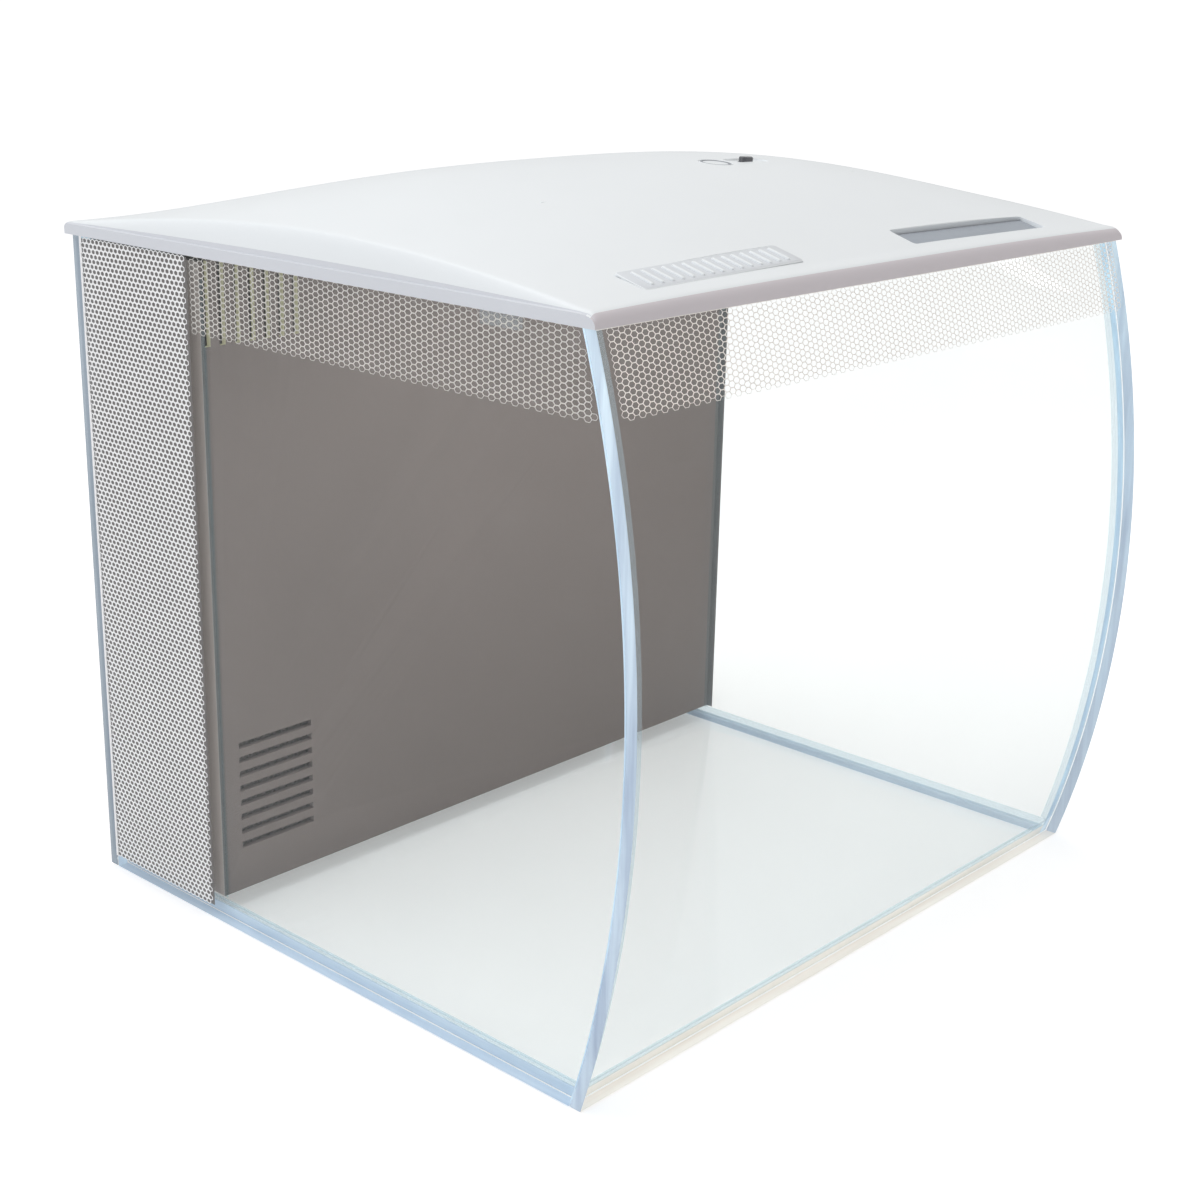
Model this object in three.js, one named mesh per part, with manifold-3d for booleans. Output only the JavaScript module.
// Desktop aquarium with a bowed front pane, a rear filter compartment and a domed lift-off lid.
// Millimetres, +Z up. Origin: centre of the tank's underside. Front is -Y, left is -X.
import * as THREE from 'three';
import { mergeVertices } from 'three/addons/utils/BufferGeometryUtils.js';
import Module from 'manifold-3d';

const wasm = await Module();
wasm.setup();

// ---------------------------------------------------------------- driving dimensions
const TANK_WIDTH = 410;      // outside of the glass
const TANK_DEPTH = 356;      // at the base
const TANK_HEIGHT = 346;
const GLASS = 6;             // pane thickness
const BOW_RADIUS = 568;      // front pane's outer face
const BOW_MID_Z = TANK_HEIGHT / 2; // height of the bow's foremost point
const JOINT = 0.5;           // silicone bed between two panes
const BEAD = 4;              // inner silicone fillet
const PARTITION = { y: [83, 86], top: 342 };

const HALF_WIDTH = TANK_WIDTH / 2;
const HALF_DEPTH = TANK_DEPTH / 2;
const INNER_X = HALF_WIDTH - GLASS;  // inner face of the side panes
const INNER_Y = HALF_DEPTH - GLASS;  // inner face of the rear pane
const BOW_CENTRE_Y = -HALF_DEPTH + Math.sqrt(BOW_RADIUS ** 2 - BOW_MID_Z ** 2);
const bowY = (radius, z) => BOW_CENTRE_Y - Math.sqrt(radius ** 2 - (z - BOW_MID_Z) ** 2);
const bowOuterY = (z) => bowY(BOW_RADIUS, z);
const bowInnerY = (z) => bowY(BOW_RADIUS - GLASS, z);
const SIDES = [['left', -1], ['right', 1]];

// ---------------------------------------------------------------- materials
const FINISH = {
  glass: { color: 0xdfeef2, roughness: 0.04, opacity: 0.35 },
  silicone: { color: 0xd7e6ec, roughness: 0.35, opacity: 0.6 },
  film: { color: 0xe9e6e1, roughness: 0.5, opacity: 0.5 },
  backFilm: { color: 0x86827d, roughness: 0.6 },
  grey: { color: 0x807c78, roughness: 0.55 },
  foam: { color: 0x6f6d6a, roughness: 0.95 },
  mediaHolder: { color: 0x9a9894, roughness: 0.5 },
  bioMedia: { color: 0xd9d2c6, roughness: 0.9 },
  carbon: { color: 0x2c2d2f, roughness: 0.85 },
  pumpBody: { color: 0x1e2023, roughness: 0.45 },
  pumpCover: { color: 0x2a2d31, roughness: 0.5 },
  impeller: { color: 0x3a3c40, roughness: 0.5 },
  shaft: { color: 0xe8e6e0, roughness: 0.25 },
  pumpMat: { color: 0x35373a, roughness: 0.9 },
  hose: { color: 0x55585c, roughness: 0.4 },
  outlet: { color: 0x6d6a67, roughness: 0.5 },
  ball: { color: 0x76736f, roughness: 0.45 },
  spout: { color: 0x6d6a67, roughness: 0.45 },
  cable: { color: 0x1b1c1e, roughness: 0.5 },
  plug: { color: 0x1b1c1e, roughness: 0.45 },
  lid: { color: 0xeceff1, roughness: 0.38 },
  hatch: { color: 0xb4bcc2, roughness: 0.35 },
  pin: { color: 0xc9ccce, roughness: 0.3, metalness: 0.9 },
  receiver: { color: 0x3b3d40, roughness: 0.15, metalness: 0.3 },
  controlBoard: { color: 0x2f6b46, roughness: 0.5 },
  lamp: { color: 0xe6e9eb, roughness: 0.4 },
  ledBoard: { color: 0xf2f3f1, roughness: 0.45 },
  diffuser: { color: 0xf6f8f9, roughness: 0.3, opacity: 0.7 },
  pad: { color: 0xdfe3e5, roughness: 0.7 },
};

// ---------------------------------------------------------------- solids and meshes
const root = new THREE.Group();

function toManifold(shape) {
  if (!shape.isBufferGeometry) return shape;
  const bare = shape.clone();
  for (const key of Object.keys(bare.attributes)) if (key !== 'position') bare.deleteAttribute(key);
  const welded = mergeVertices(bare, 1e-4);
  return new wasm.Manifold(new wasm.Mesh({
    numProp: 3,
    vertProperties: new Float32Array(welded.attributes.position.array),
    triVerts: new Uint32Array(welded.index.array),
  }));
}
function toGeometry(manifold) {
  const mesh = manifold.getMesh();
  const geometry = new THREE.BufferGeometry();
  const positions = new Float32Array(mesh.vertProperties);
  geometry.setAttribute('position', new THREE.BufferAttribute(positions, 3));
  geometry.setIndex(new THREE.BufferAttribute(new Uint32Array(mesh.triVerts), 1));
  geometry.computeVertexNormals();
  return geometry;
}
const minus = (body, ...cuts) =>
  cuts.reduce((rest, cut) => rest.subtract(toManifold(cut)), toManifold(body));
const plus = (body, ...parts) =>
  parts.reduce((sum, part) => sum.add(toManifold(part)), toManifold(body));

function add(name, shape, finish) {
  const material = new THREE.MeshStandardMaterial({
    ...finish,
    transparent: finish.opacity !== undefined,
    metalness: finish.metalness ?? 0,
  });
  const mesh = new THREE.Mesh(shape.isBufferGeometry ? shape : toGeometry(shape), material);
  mesh.name = name;
  root.add(mesh);
}

// ---------------------------------------------------------------- spans: [low, high] on one axis
const mid = ([low, high]) => (low + high) / 2;
const inset = ([low, high], margin) => [low + margin, high - margin];
const around = (centre, half) => [centre - half, centre + half];
// span between two distances from the middle, on the left (-1) or right (+1)
const sideSpan = (sign, near, far) => (sign < 0 ? [-far, -near] : [near, far]);
const repeat = (count, make) => Array.from({ length: count }, (_, i) => make(i));

// ---------------------------------------------------------------- shapes
function block(x, y, z) {
  return new THREE.BoxGeometry(x[1] - x[0], y[1] - y[0], z[1] - z[0])
    .translate(mid(x), mid(y), mid(z));
}
// cylinder along one axis; centre holds the other two coordinates in x, y, z order
function rod(axis, span, [first, second], radius, segments) {
  const geometry = new THREE.CylinderGeometry(radius, radius, span[1] - span[0], segments, 1);
  if (axis === 'x') geometry.rotateZ(-Math.PI / 2).translate(mid(span), first, second);
  if (axis === 'y') geometry.translate(first, mid(span), second);
  if (axis === 'z') geometry.rotateX(Math.PI / 2).translate(first, second, mid(span));
  return geometry;
}
// polygon in (y, z) swept along x
function prismX(points, [x0, x1]) {
  const outline = new THREE.Shape(points.map(([y, z]) => new THREE.Vector2(y, z)));
  const options = { depth: x1 - x0, bevelEnabled: false, steps: 1 };
  return new THREE.ExtrudeGeometry(outline, options)
    .applyMatrix4(new THREE.Matrix4().set(0, 0, 1, x0, 1, 0, 0, 0, 0, 1, 0, 0, 0, 0, 0, 1));
}
// rounded rectangle in (x, y), centred on the origin, with its height along z
function slab(width, depth, radius, [z0, z1], curveSegments = 3) {
  const outline = new THREE.Shape();
  const x = width / 2 - radius;
  const y = depth / 2 - radius;
  const quarter = Math.PI / 2;
  outline.moveTo(-x, -y - radius);
  outline.lineTo(x, -y - radius);
  outline.absarc(x, -y, radius, -quarter, 0);
  outline.lineTo(x + radius, y);
  outline.absarc(x, y, radius, 0, quarter);
  outline.lineTo(-x, y + radius);
  outline.absarc(-x, y, radius, quarter, 2 * quarter);
  outline.lineTo(-x - radius, -y);
  outline.absarc(-x, -y, radius, 2 * quarter, 3 * quarter);
  return new THREE.ExtrudeGeometry(outline, { depth: z1 - z0, bevelEnabled: false, curveSegments })
    .translate(0, 0, z0);
}
function indexed(points, triangles) {
  const geometry = new THREE.BufferGeometry();
  const positions = new Float32Array(points.flat());
  geometry.setAttribute('position', new THREE.BufferAttribute(positions, 3));
  geometry.setIndex(triangles.flat());
  geometry.computeVertexNormals();
  return geometry;
}
const flip = (triangles) => triangles.map(([a, b, c]) => [a, c, b]);

// closed mesh, turned inside out if its signed volume is negative
function outward(points, triangles) {
  let volume = 0;
  for (const triangle of triangles) {
    const [p, q, r] = triangle.map((i) => points[i]);
    volume += p[0] * (q[1] * r[2] - q[2] * r[1]) - p[1] * (q[0] * r[2] - q[2] * r[0])
      + p[2] * (q[0] * r[1] - q[1] * r[0]);
  }
  return indexed(points, volume < 0 ? flip(triangles) : triangles);
}
// band of triangles between two rings, given the index of each ring's first point
function bridge(from, to, count) {
  return repeat(count, (i) => {
    const next = (i + 1) % count;
    return [[from + i, from + next, to + next], [from + i, to + next, to + i]];
  }).flat();
}
// bands along a run of equal rings stored one after another
const skin = (ringCount, count) =>
  repeat(ringCount - 1, (k) => bridge(k * count, (k + 1) * count, count)).flat();

// skin over a list of equal rings, capped at both ends; the caps are cut up in plane (u, v)
function loft(rings, [u, v]) {
  const count = rings[0].length;
  const last = (rings.length - 1) * count;
  const ring = rings[0].map((point) => new THREE.Vector2(point[u], point[v]));
  const area = THREE.ShapeUtils.area(ring);
  const triangles = skin(rings.length, count);
  for (const [a, b, c] of THREE.ShapeUtils.triangulateShape(ring, [])) {
    const turn = THREE.ShapeUtils.area([ring[a], ring[b], ring[c]]);
    const [p, q, r] = turn * area > 0 ? [a, b, c] : [c, b, a];
    triangles.push([r, q, p], [last + p, last + q, last + r]);
  }
  return outward(rings.flat(), triangles);
}
// circles square to a smooth curve through the points
function sweepRings(points, radius, count, steps) {
  const controls = points.map((point) => new THREE.Vector3(...point));
  const curve = new THREE.CatmullRomCurve3(controls, false, 'centripetal');
  const normal = new THREE.Vector3(0.123, 0.987, 0.1);  // any start not along the curve
  return repeat(steps + 1, (k) => {    // spaced by control point, so tight bends stay fine
    const centre = curve.getPoint(k / steps);
    const tangent = curve.getTangent(k / steps);
    normal.addScaledVector(tangent, -normal.dot(tangent)).normalize();
    const binormal = new THREE.Vector3().crossVectors(tangent, normal);
    return repeat(count, (i) => {
      const angle = 2 * Math.PI * i / count;
      return centre.clone()
        .addScaledVector(normal, radius * Math.cos(angle))
        .addScaledVector(binormal, radius * Math.sin(angle))
        .toArray();
    });
  });
}
function bar(points, radius, count, steps) {
  const last = steps * count;
  const triangles = skin(steps + 1, count);
  for (let i = 1; i + 1 < count; i++) {
    triangles.push([0, i + 1, i], [last, last + i, last + i + 1]);
  }
  return outward(sweepRings(points, radius, count, steps).flat(), triangles);
}
function pipe(points, outerRadius, innerRadius, count, steps) {
  const rings = [outerRadius, innerRadius]
    .flatMap((radius) => sweepRings(points, radius, count, steps));
  const last = steps * count;
  const bore = last + count;           // index of the first bore point
  const outside = skin(steps + 1, count);
  return outward(rings.flat(), [
    ...outside,
    ...flip(outside).map((triangle) => triangle.map((i) => bore + i)),
    ...flip(bridge(0, bore, count)),
    ...bridge(last, bore + last, count),
  ]);
}

// ---------------------------------------------------------------- glass panes
const BOW_SEGMENTS = 32;

// (y, z) points of a bowed edge, from the bottom up
const bowEdge = (yAt, [z0, z1], segments) => repeat(segments + 1, (i) => {
  const z = z0 + (z1 - z0) * i / segments;
  return [yAt(z), z];
});
const paneEdge = (yAt) => bowEdge(yAt, [0, TANK_HEIGHT], BOW_SEGMENTS);
const bowBed = (z) => bowInnerY(z) + JOINT;
const REAR_BED = INNER_Y - JOINT;

add('front_pane', prismX([...paneEdge(bowOuterY), ...paneEdge(bowInnerY).reverse()],
  around(0, HALF_WIDTH)), FINISH.glass);
for (const [side, sign] of SIDES) {
  const outline = [...paneEdge(bowBed), [REAR_BED, TANK_HEIGHT], [REAR_BED, 0]];
  add(`${side}_pane`, prismX(outline, sideSpan(sign, INNER_X, HALF_WIDTH)), FINISH.glass);
}
add('rear_pane', block(around(0, HALF_WIDTH), [INNER_Y, HALF_DEPTH], [0, TANK_HEIGHT]),
  FINISH.glass);
add('base_pane', prismX([[bowBed(0), 0], [REAR_BED, 0], [REAR_BED, GLASS], [bowBed(GLASS), GLASS]],
  around(0, INNER_X - JOINT)), FINISH.glass);

// ---------------------------------------------------------------- silicone
const FLAT_GAP = 0.05;       // clearance on flat faces
const BOW_GAP = 0.14;        // clearance on bowed faces
const SEAM_Z = [GLASS + BEAD + 0.3, TANK_HEIGHT - 1];
const FRONT_SEAM_STEPS = 20;
const PARTITION_BEAD = 3.4;

// level section of a corner seam: a thin bed on the side pane's edge and a fillet inside;
// inward is +1 from the front pane, -1 from the rear one
function cornerRing(sign, paneY, inward, gap, z) {
  return [
    [HALF_WIDTH - 0.5, gap],
    [INNER_X - BEAD, gap],
    [INNER_X - 0.45 * BEAD, 0.45 * BEAD],
    [INNER_X - FLAT_GAP, JOINT + BEAD],
    [INNER_X - FLAT_GAP, JOINT - gap],
    [HALF_WIDTH - 0.5, JOINT - gap],
  ].map(([x, y]) => [sign * x, paneY + inward * y, z]);
}
for (const [side, sign] of SIDES) {
  const front = bowEdge(bowInnerY, SEAM_Z, FRONT_SEAM_STEPS)
    .map(([y, z]) => cornerRing(sign, y, 1, BOW_GAP, z));
  add(`seam_front_${side}`, loft(front, [0, 1]), FINISH.silicone);

  const rear = SEAM_Z.map((z) => cornerRing(sign, INNER_Y, -1, FLAT_GAP, z));
  add(`seam_rear_${side}`, loft(rear, [0, 1]), FINISH.silicone);

  const partition = [SEAM_Z[0] + 0.5, PARTITION.top - 8].map((z) => [
    [sign * (INNER_X - FLAT_GAP), PARTITION.y[0] - PARTITION_BEAD, z],
    [sign * (INNER_X - PARTITION_BEAD), PARTITION.y[0] - FLAT_GAP, z],
    [sign * (INNER_X - FLAT_GAP), PARTITION.y[0] - FLAT_GAP, z],
  ]);
  add(`seam_partition_${side}`, loft(partition, [0, 1]), FINISH.silicone);
}

// one closed fillet round the inside of the floor
function baseSeam() {
  // columns: distance in from the pane, height above the floor
  const section = [
    [FLAT_GAP, FLAT_GAP], [BEAD, FLAT_GAP], [0.42 * BEAD, 0.42 * BEAD], [FLAT_GAP, BEAD],
  ];
  const corners = [[-1, -1], [1, -1], [1, 1], [-1, 1]];
  const points = corners.flatMap(([signX, signY]) => section.map(([inward, up]) => {
    const z = GLASS + up;
    const y = signY < 0 ? bowInnerY(z) + inward + 0.1 : INNER_Y - inward;
    return [signX * (INNER_X - inward), y, z];
  }));
  const count = section.length;
  const triangles = corners.flatMap((_, i) =>
    bridge(i * count, ((i + 1) % corners.length) * count, count));
  return outward(points, triangles);
}
add('seam_base', baseSeam(), FINISH.silicone);

// ---------------------------------------------------------------- printed films
const FILM = 0.25;
const BACK_FILM = 0.3;
const FILM_TOP = TANK_HEIGHT - 0.4;
const BAND_Z = [307, FILM_TOP];
const BAND_SEGMENTS = 8;
const bandEdge = (yAt) => bowEdge(yAt, BAND_Z, BAND_SEGMENTS);
const filmSpan = (sign) => sideSpan(sign, HALF_WIDTH + FLAT_GAP, HALF_WIDTH + FLAT_GAP + FILM);

add('band_front', prismX([
  ...bandEdge((z) => bowOuterY(z) - FLAT_GAP - FILM),
  ...bandEdge((z) => bowOuterY(z) - FLAT_GAP).reverse(),
], around(0, INNER_X + 1.5)), FINISH.film);
const bandRear = PARTITION.y[0] - 0.5;
add('band_left', prismX([
  ...bandEdge((z) => bowInnerY(z) + 1.5), [bandRear, BAND_Z[1]], [bandRear, BAND_Z[0]],
], filmSpan(-1)), FINISH.film);
for (const [side, sign] of SIDES) {
  add(`wrap_${side}`, block(filmSpan(sign), [PARTITION.y[0], HALF_DEPTH - 10],
    [GLASS + 0.5, FILM_TOP]), FINISH.film);
}
add('back_film', block(around(0, HALF_WIDTH - 2),
  [HALF_DEPTH + FLAT_GAP, HALF_DEPTH + FLAT_GAP + BACK_FILM], [2, TANK_HEIGHT - 2]),
FINISH.backFilm);

// ---------------------------------------------------------------- partition and dividers
const PART_FLOOR = GLASS + BEAD + 0.5;   // clears the base fillet
const OUTLET = { x: [25, 75], z: 318, radius: 10.2 };
const COMB = { x: -195, pitch: 9, count: 7, halfSlot: 1.7, z: 301 };
const GRILLE = { x: [-186, -138], z: 34, pitch: 8, count: 8, slot: 3.4 };

function partition() {
  const [front, rear] = PARTITION.y;
  const height = [PART_FLOOR, PARTITION.top];
  const through = inset(PARTITION.y, -1);
  const wall = block(around(0, INNER_X - 0.4), [front, rear], height);
  const flanges = SIDES.map(([, sign]) =>
    block(sideSpan(sign, INNER_X - 2.4, INNER_X - 0.4), [rear - 1, rear + 10], height));
  const surfaceComb = repeat(COMB.count, (i) =>
    block(around(COMB.x + COMB.pitch * i, COMB.halfSlot), through, [COMB.z, PARTITION.top + 1]));
  const lowGrille = repeat(GRILLE.count, (i) => {
    const z = GRILLE.z + GRILLE.pitch * i;
    return block(GRILLE.x, through, [z, z + GRILLE.slot]);
  });
  const outletHoles = OUTLET.x.map((x) =>
    rod('y', through, [x, OUTLET.z], OUTLET.radius + 0.5, 32));
  return minus(plus(wall, ...flanges), ...surfaceComb, ...lowGrille, ...outletHoles);
}
add('partition', partition(), FINISH.grey);

const DIVIDER_Y = [PARTITION.y[1] + 0.4, INNER_Y - 0.4];
add('divider_intake', block([-74, -71.5], DIVIDER_Y, [34, 330]), FINISH.grey);
add('divider_pump', block([-2.5, 0], DIVIDER_Y, [PART_FLOOR, 276]), FINISH.grey);

// ---------------------------------------------------------------- filter media
const FOAM = { x: [-193.5, -77], y: [88.5, 167], z: [15, 238] };
const FOAM_BORE = { z: [120, 250], centre: [-135, 128], radius: 9 };
const CRADLE_X = [-193.8, -76.6];
const BASKET = { x: [-70.2, -4], y: [88.2, 169.6], z: [40, 205], wall: 1.8, handleY: [120, 138] };

add('foam_block', minus(block(FOAM.x, FOAM.y, FOAM.z),
  rod('z', FOAM_BORE.z, FOAM_BORE.centre, FOAM_BORE.radius, 20)), FINISH.foam);

function foamCradle() {
  const back = block(CRADLE_X, [167.4, 169.8], [11, 292]);
  const floor = block(CRADLE_X, [88.2, 168], [11, 14.6]);
  const topLedge = block(CRADLE_X, [160, 168], [286, 292]);
  const grip = block([-170, -100], [166, 171], [262, 280]);
  const floorSlots = repeat(5, (i) =>
    block([-186 + 22 * i, -174 + 22 * i], [94, 156], [10, 15.5]));
  return minus(plus(back, floor, topLedge), grip, ...floorSlots);
}
add('foam_cradle', foamCradle(), FINISH.mediaHolder);

function mediaBasket() {
  const { x, y, z, wall, handleY } = BASKET;
  const cavity = block(inset(x, wall), inset(y, wall), [42, 206]);
  const floorSlots = repeat(6, (i) => repeat(4, (j) =>
    block(around(x[0] + 7 + 10.2 * i, 3.2), around(y[0] + 8 + 18 * j, 7), [39, 43]))).flat();
  const posts = [x[0], x[1] - wall].map((postX) =>
    block([postX, postX + wall], handleY, [200, 282]));
  const handle = block(x, handleY, [280, 282.4]);
  return plus(minus(block(x, y, z), cavity, ...floorSlots), ...posts, handle);
}
add('media_basket', mediaBasket(), FINISH.mediaHolder);
add('bio_media', block(inset(BASKET.x, 2.6), inset(BASKET.y, 2.6), [42.4, 112]), FINISH.bioMedia);
add('carbon_pouch', slab(60, 72, 10, [113, 186]).translate(mid(BASKET.x), mid(BASKET.y), 0),
  FINISH.carbon);

// ---------------------------------------------------------------- pump
const PUMP = { x: [46, 94], y: [106, 150], z: [14, 70], chamberRadius: 13 };
const PUMP_AXIS = [mid(PUMP.y), mid(PUMP.z)];      // (y, z) of the impeller shaft
const PUMP_RIGHT = PUMP.x[1];
const PUMP_SPIGOT = [84, mid(PUMP.y)];             // (x, y) of the upward outlet
const SHAFT_RADIUS = 1.5;
const pumpRod = (x, radius, segments) => rod('x', x, PUMP_AXIS, radius, segments);

function pumpBody() {
  const hull = slab(PUMP.x[1] - PUMP.x[0], PUMP.y[1] - PUMP.y[0], 7, PUMP.z)
    .translate(mid(PUMP.x), mid(PUMP.y), 0);
  return minus(plus(hull, rod('z', [PUMP.z[1] - 1, 92], PUMP_SPIGOT, 7.6, 24)),
    pumpRod([58, PUMP_RIGHT + 1], PUMP.chamberRadius, 24),
    rod('z', [PUMP_AXIS[1], 93], PUMP_SPIGOT, 5.6, 24),
    pumpRod([54, 60], SHAFT_RADIUS + 0.1, 20));
}
add('pump_body', pumpBody(), FINISH.pumpBody);

// round cap on the pump's right face: slotted, with a hub for the shaft
function pumpCover() {
  const [y, z] = PUMP_AXIS;
  const slots = [-3, -2, -1, 1, 2, 3].map((i) => {
    const half = Math.sqrt(15 ** 2 - (4 * i) ** 2);
    return block([PUMP_RIGHT + 5, PUMP_RIGHT + 10], around(y, half), around(z + 4 * i, 1.1));
  });
  const slotted = minus(pumpRod([PUMP_RIGHT + 0.3, PUMP_RIGHT + 9], 19, 28),
    pumpRod([PUMP_RIGHT, PUMP_RIGHT + 6.5], 16.5, 28), ...slots);
  return minus(plus(slotted, pumpRod([PUMP_RIGHT + 3, PUMP_RIGHT + 8], 3.4, 20)),
    pumpRod([PUMP_RIGHT + 2, PUMP_RIGHT + 5.5], SHAFT_RADIUS + 0.1, 20));
}
add('pump_cover', pumpCover(), FINISH.pumpCover);

function impeller() {
  const magnet = pumpRod([60, 82], 9.4, 20);
  const disc = pumpRod([81.5, 83.4], 11.6, 20);
  const hub = pumpRod([83, 91.8], 3.4, 20);
  const vanes = repeat(6, (i) => block([83.2, 91.4], [-0.7, 0.7], [2.8, 11.4])
    .rotateX(i * Math.PI / 3).translate(0, ...PUMP_AXIS));
  return minus(plus(magnet, disc, hub, ...vanes), pumpRod([59, 93], SHAFT_RADIUS + 0.08, 24));
}
add('impeller', impeller(), FINISH.impeller);
add('impeller_shaft', pumpRod([55, PUMP_RIGHT + 5], SHAFT_RADIUS, 16), FINISH.shaft);
add('pump_mat', toManifold(slab(44, 40, 6, [GLASS + 0.3, PUMP.z[0] - 0.3])
  .translate(mid(PUMP.x), mid(PUMP.y), 0)), FINISH.pumpMat);

// ---------------------------------------------------------------- outlet
const INLET = [mid(OUTLET.x), 100];    // (x, y) of the manifold's spigot
const BALL = { y: 78.3, radius: 7.5 };
const HOSE_PATH = [
  [...PUMP_SPIGOT, 76], [...PUMP_SPIGOT, 100], [...PUMP_SPIGOT, 130],
  [PUMP_SPIGOT[0] - 7, PUMP_SPIGOT[1] - 5, 180], [57, 106, 240],
  [...INLET, 276], [...INLET, 290], [...INLET, 305],
];
add('outlet_hose', pipe(HOSE_PATH, 10.8, 8.5, 14, 20), FINISH.hose);

// cross pipe, a spigot from below and two sockets through the partition
function outletManifold() {
  const crossX = inset(OUTLET.x, -13);
  const y = INLET[1];
  const socket = (x, front, radius) => rod('y', [front, y], [x, OUTLET.z], radius, 20);
  return minus(
    plus(rod('x', crossX, [y, OUTLET.z], 11, 20), rod('z', [291, OUTLET.z], INLET, 7.6, 16),
      ...OUTLET.x.map((x) => socket(x, 79, OUTLET.radius))),
    rod('x', inset(crossX, 2.5), [y, OUTLET.z], 8.6, 20),
    rod('z', [290, OUTLET.z], INLET, 5.6, 16),
    ...OUTLET.x.map((x) => socket(x, 78, 8.1)));
}
add('outlet_manifold', outletManifold(), FINISH.outlet);

// section of the ring nut that holds the ball; columns: radius, y from the nut's front
const NUT_PROFILE = [
  [8.9, 0], [14, 0], [14.6, 1.2], [14.6, 7.1], [10.7, 7.1],
  [10.7, 3.3], [8.3, 3.3], [7.8, 2.2], [7.5, 1.2],
];
const NUT_Y = 75.5;
// oval stations; columns: y from the ball's centre, half width, half height
const SPOUT_OUTSIDE = [
  [-5.8, 6.2, 6.2], [-9, 6.6, 6.6], [-14, 8.4, 5.6], [-20, 10.4, 4.2], [-26, 11.4, 3.6],
];
const SPOUT_BORE = [
  [-2, 4.4, 4.4], [-9, 4.4, 4.4], [-14, 6.4, 3.6], [-20, 8.6, 2.6], [-27, 9.8, 2.1],
];
function ovalLoft(x, stations) {
  return loft(stations.map(([y, halfWidth, halfHeight]) => repeat(18, (i) => {
    const angle = 2 * Math.PI * i / 18;
    return [
      x + halfWidth * Math.cos(angle), BALL.y + y, OUTLET.z + halfHeight * Math.sin(angle),
    ];
  })), [0, 2]);
}
const sphere = (x, radius) => new THREE.SphereGeometry(radius, 18, 10)
  .rotateX(Math.PI / 2).translate(x, BALL.y, OUTLET.z);

function addOutlet(side, x) {
  const profile = [...NUT_PROFILE, NUT_PROFILE[0]].map((point) => new THREE.Vector2(...point));
  const nut = new THREE.LatheGeometry(profile, 22).translate(x, NUT_Y, OUTLET.z);
  add(`outlet_ring_${side}`, toManifold(nut), FINISH.outlet);
  add(`outlet_ball_${side}`, minus(sphere(x, BALL.radius),
    rod('y', around(BALL.y, 12), [x, OUTLET.z], 4.2, 16)), FINISH.ball);
  // cup against the ball, then a flattened jet
  add(`outlet_spout_${side}`, minus(ovalLoft(x, SPOUT_OUTSIDE), ovalLoft(x, SPOUT_BORE),
    sphere(x, BALL.radius + 0.35)), FINISH.spout);
}
SIDES.forEach(([side], i) => addOutlet(side, OUTLET.x[i]));

// ---------------------------------------------------------------- cables
const CABLE_Y = 182.6;       // where the cables hang behind the tank
const CABLE_RADIUS = 2.1;
const PUMP_CABLE = {
  x: 134,
  path: [
    [52, 146.5, 71.5], [53, 150, 90], [70, 160, 130], [110, 165.5, 200], [130, 166.5, 280],
    [134, 166.5, 330], [134, 167.4, 342.5], [134, 170.4, 348.4],
  ],
};
const LAMP_CABLE = {
  x: 147,
  path: [
    [106, -24, 361], [106, -8, 361], [108, 30, 362], [124, 80, 358], [142, 130, 352.6],
    [147, 160, 350.4], [147, 168, 349.8],
  ],
};
// cable along its path, over the rear edge at x and down to a plug
function addCable(name, { x, path }) {
  const drop = [[175, 349.6], [179.8, 348.6], [CABLE_Y, 343], [CABLE_Y, 320], [CABLE_Y, 268]]
    .map(([y, z]) => [x, y, z]);
  add(`${name}_cable`, bar([...path, ...drop], CABLE_RADIUS, 8, 40), FINISH.cable);
  add(`${name}_plug`, slab(10, 7.6, 2.4, [232, 267.6]).translate(x, CABLE_Y, 0), FINISH.plug);
}
addCable('pump', PUMP_CABLE);

// ---------------------------------------------------------------- lid surface
const LID_X = 207.5;         // half width of the lid
const LID_Y = [-180, 181];
const LID_Z = 346.2;         // underside of the rim
const LIP_Z = 352;           // top line of the lip
const LIP_X = LID_X - 0.8;   // half width where the lip starts to fall
const SKIN = 3;              // lid wall
const NOSE_Y = LID_Y[0] + 10;          // rear end of the rounded front nose
const REAR_ROUND = 2.4;
const REAR_Y = LID_Y[1] - REAR_ROUND;
// height, y length, half width, and the exponents and crown that shape the two curves
const DOME = {
  height: 34.13, length: 362, halfWidth: 207, skew: 0.946, crown: 0.608, crownPower: 2.78,
};

function dome(x, y) {
  const t = Math.min(1, Math.max(0, (y - LID_Y[0]) / DOME.length));
  const rise = DOME.height * Math.sin(Math.PI * t ** DOME.skew);
  return LIP_Z + rise * (1 - DOME.crown * Math.abs(x / DOME.halfWidth) ** DOME.crownPower);
}
const quarterRound = (t) => Math.sqrt(1 - (1 - t) ** 2);
function lidTop(x, y) {
  const shoulder = Math.min(1, Math.max(0, (206.6 - Math.abs(x)) / 3.2));
  let z = LIP_Z + (dome(x, Math.max(y, NOSE_Y)) - LIP_Z) * quarterRound(shoulder);
  if (Math.abs(x) > LIP_X) z -= 0.5 * (Math.abs(x) - LIP_X) / (LID_X - LIP_X);
  if (y > REAR_Y) {
    z -= REAR_ROUND - Math.sqrt(Math.max(0, REAR_ROUND ** 2 - (y - REAR_Y) ** 2));
  }
  if (y < NOSE_Y) {
    z = LID_Z + (z - LID_Z) * quarterRound((y - LID_Y[0]) / (NOSE_Y - LID_Y[0])) + 0.02;
  }
  return z;
}
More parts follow.
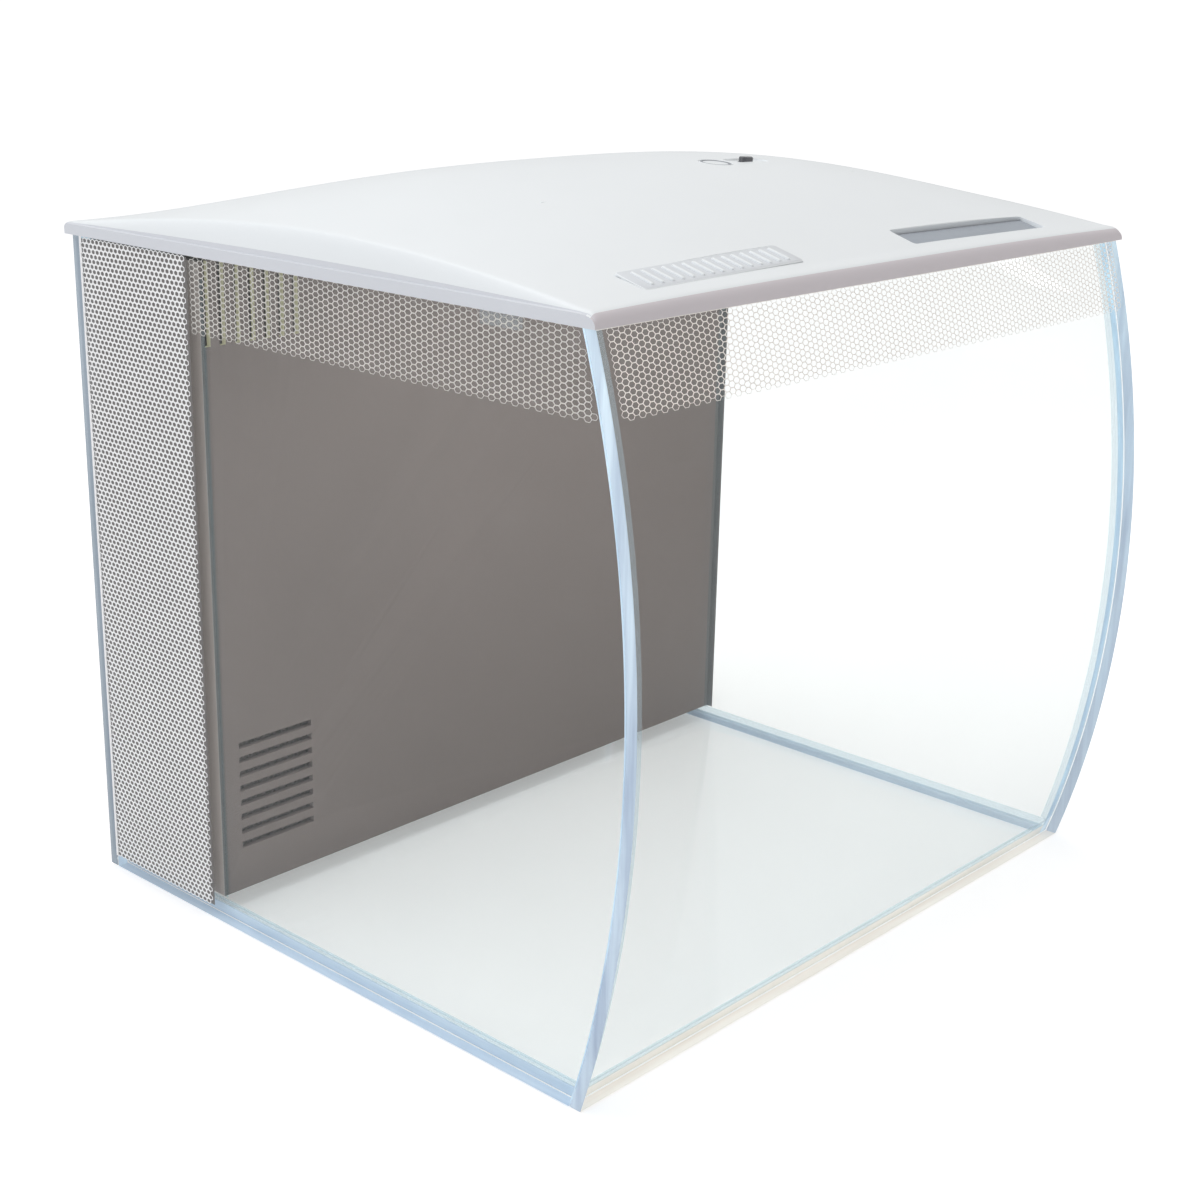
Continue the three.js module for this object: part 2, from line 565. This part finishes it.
// frame on the dome: x axis in the XZ plane, z axis along the normal
function frameAt({ x, y }) {
  const step = 2;
  const slopeX = (dome(x + step, y) - dome(x - step, y)) / (2 * step);
  const slopeY = (dome(x, y + step) - dome(x, y - step)) / (2 * step);
  const along = new THREE.Vector3(1, 0, slopeX).normalize();
  const normal = new THREE.Vector3(-slopeX, -slopeY, 1).normalize();
  const across = new THREE.Vector3().crossVectors(normal, along);
  return new THREE.Matrix4().makeBasis(along, across, normal).setPosition(x, y, dome(x, y));
}
// solid between the surface top(x, y) on a grid and the level bottom
function field(xs, ys, top, bottom) {
  const columns = xs.length;
  const rows = ys.length;
  const points = ys.flatMap((y) => xs.map((x) => [x, y, top(x, y)]));
  const triangles = [];
  for (let j = 0; j + 1 < rows; j++) for (let i = 0; i + 1 < columns; i++) {
    const near = j * columns + i;
    const far = near + columns;
    triangles.push([near, near + 1, far + 1], [near, far + 1, far]);
  }
  const rim = [];                      // counter-clockwise from above
  for (let i = 0; i + 1 < columns; i++) rim.push(i);
  for (let j = 0; j + 1 < rows; j++) rim.push(j * columns + columns - 1);
  for (let i = columns - 1; i > 0; i--) rim.push((rows - 1) * columns + i);
  for (let j = rows - 1; j > 0; j--) rim.push(j * columns);
  const base = points.length;
  const centre = base + rim.length;
  for (const i of rim) points.push([points[i][0], points[i][1], bottom]);
  points.push([0, 0, bottom]);
  rim.forEach((corner, k) => {
    const next = (k + 1) % rim.length;
    triangles.push([corner, base + k, base + next], [corner, base + next, rim[next]],
      [base + next, base + k, centre]);
  });
  return indexed(points, triangles);
}
// left half of a grid, given as distances that end in 0, completed on the right
const mirror = (half) => [...half.map((x) => -x), ...half.slice(0, -1).reverse()];

// ---------------------------------------------------------------- lid
const HATCH = { x: 91.5, y: -157.6, width: 119, depth: 15.4, sink: 2.4, thickness: 2.2 };
const PANEL = { x: -109.5, y: -157.4, width: 106, depth: 18 };
const BUTTON = { x: 38, y: -37.2, radius: 8.6 };
const RECEIVER = { x: 65, y: -35.5 };
const [hatchFrame, panelFrame, buttonFrame, receiverFrame] =
  [HATCH, PANEL, BUTTON, RECEIVER].map(frameAt);
const BARREL_RADIUS = 1.9;
const PIN_RADIUS = 0.9;
const HINGE = [HATCH.depth / 2 - BARREL_RADIUS, -HATCH.sink - BARREL_RADIUS];  // (y, z) on hatch
const hingeRod = (half, radius, segments) => rod('x', around(0, half), HINGE, radius, segments);
const buttonRod = (z, radius, segments) => rod('z', z, [0, 0], radius, segments);

const LID_XS = mirror([LID_X, LIP_X, 205.2, 203.4, 186, 152, 106, 54, 0]);
const LID_YS = [
  LID_Y[0], -179.6, -178.4, -176, -173, NOSE_Y, -156, -134, -104, -68, -30,
  10, 50, 88, 122, 152, REAR_Y, 180.2, LID_Y[1],
];
const CAVITY_XS = mirror([203, 175, 135, 75, 0]);
const CAVITY_YS = [-168, -146, -112, -70, -25, 20, 65, 108, 145, 172];

function lidShell() {
  const { width, depth, sink, thickness } = HATCH;
  const shell = minus(field(LID_XS, LID_YS, lidTop, LID_Z),
    field(CAVITY_XS, CAVITY_YS, (x, y) => dome(x, y) - SKIN, 349.5),
    block([-194, 194], [-166, 166], [340, 350]));
  const hatchSurround = slab(width + 7, depth + 5, 3, [-9.2, -1]);
  const hatchCuts = [
    slab(width + 0.8, depth + 0.8, 2.2, [-sink - thickness - 0.3, 9]),
    slab(width - 5, depth - 7, 2, [-20, 0]).translate(0, -1.4, 0),
    hingeRod(width / 2 + 0.4, 2.35, 16),
    hingeRod(width / 2 + 2.6, PIN_RADIUS + 0.08, 14),
  ];
  const panelSeat = slab(PANEL.width + 0.6, PANEL.depth + 0.6, 2, [-1.1, 6]);
  const buttonCuts = [
    buttonRod([-12, 6], BUTTON.radius + 0.35, 28),
    buttonRod([-12, -3], BUTTON.radius + 2.2, 32),
  ];
  // oval seat, then the opening through it
  const receiverCuts = [slab(31, 11, 5.4, [-1, 5], 6), slab(9.6, 5.6, 2.6, [-12, 5], 5)];
  const cableNotch = block([126, 156], [164, 190], [345, 352.6]);
  const opened = minus(plus(shell, hatchSurround.applyMatrix4(hatchFrame)),
    ...hatchCuts.map((cut) => cut.applyMatrix4(hatchFrame)),
    panelSeat.applyMatrix4(panelFrame),
    ...buttonCuts.map((cut) => cut.applyMatrix4(buttonFrame)),
    ...receiverCuts.map((cut) => cut.applyMatrix4(receiverFrame)),
    cableNotch);
  const lampRibs = [-118, 118].map((x) => block(around(x, 1.5), [-66, -18], [370.3, 378]));
  return plus(opened, ...lampRibs);
}
add('lid_shell', lidShell(), FINISH.lid);

function lidPanel() {
  const ribs = repeat(15, (i) => block([-0.9, 0.9], [-6.4, 6.4], [0, 0.9])
    .translate(-45.5 + 6.5 * i, 0, 0).applyMatrix4(panelFrame));
  const plate = slab(PANEL.width, PANEL.depth, 1.8, [-0.8, 0.1]).applyMatrix4(panelFrame);
  return plus(plate, ...ribs);
}
add('lid_panel', lidPanel(), FINISH.lid);

// flap with a barrel on its rear edge and a thumb notch on its front edge
function feedingHatch() {
  const { width, depth, sink, thickness } = HATCH;
  const flap = slab(width, depth - 2.4, 2, [-sink - thickness, -sink]).translate(0, -1.2, 0);
  const barrel = hingeRod(width / 2, BARREL_RADIUS, 16);
  const pinBore = hingeRod(width, PIN_RADIUS + 0.07, 14);
  const thumbNotch = rod('z', [-10, 0], [0, -depth / 2 - 3.4], 7, 28);
  const [body, ...others] = [flap, barrel, pinBore, thumbNotch]
    .map((part) => part.applyMatrix4(hatchFrame));
  return minus(plus(body, others[0]), others[1], others[2]);
}
add('feeding_hatch', feedingHatch(), FINISH.hatch);
add('hatch_pin', hingeRod(HATCH.width / 2 + 2.3, PIN_RADIUS, 12).applyMatrix4(hatchFrame),
  FINISH.pin);

// cap, retaining flange and stem
const buttonParts = [
  buttonRod([-3.4, -0.05], BUTTON.radius, 28),
  buttonRod([-4.6, -3.35], BUTTON.radius + 1.6, 28),
  buttonRod([-6, -4.5], 2, 18),
].map((part) => part.applyMatrix4(buttonFrame));
add('touch_button', plus(...buttonParts), FINISH.lid);

// pill-shaped window standing proud of its oval seat
add('receiver_window', slab(9, 5, 2.3, [-4, 1.9], 5).applyMatrix4(receiverFrame),
  FINISH.receiver);
add('control_board', block([20, 88], [-54, -20], [375.2, 376.8]), FINISH.controlBoard);

// ---------------------------------------------------------------- lamp
const LAMP_Y = -42;
const lampSlab = (width, depth, radius, z) =>
  slab(width, depth, radius, z).translate(0, LAMP_Y, 0);

add('lamp_housing', minus(lampSlab(284, 58, 6, [353, 370]), lampSlab(279, 53, 4, [350, 367.8]),
  block([102.5, 109.5], [-18, -10], [357.6, 364.4])), FINISH.lamp);  // last cut: cable hole
add('led_board', block([-134, 134], around(LAMP_Y, 20), [364.8, 366.4]), FINISH.ledBoard);
add('lamp_diffuser', lampSlab(278, 52, 4, [353.3, 355.8]), FINISH.diffuser);
addCable('lamp', LAMP_CABLE);

// ---------------------------------------------------------------- lid pads
// rubber locating pads inside the side panes
for (const [end, y] of [['front', -118], ['rear', 132]]) for (const [side, sign] of SIDES) {
  add(`lid_pad_${end}_${side}`, block(sideSpan(sign, INNER_X - 4.5, INNER_X - 0.5),
    around(y, 11), [338, LID_Z - 0.3]), FINISH.pad);
}

export default root;
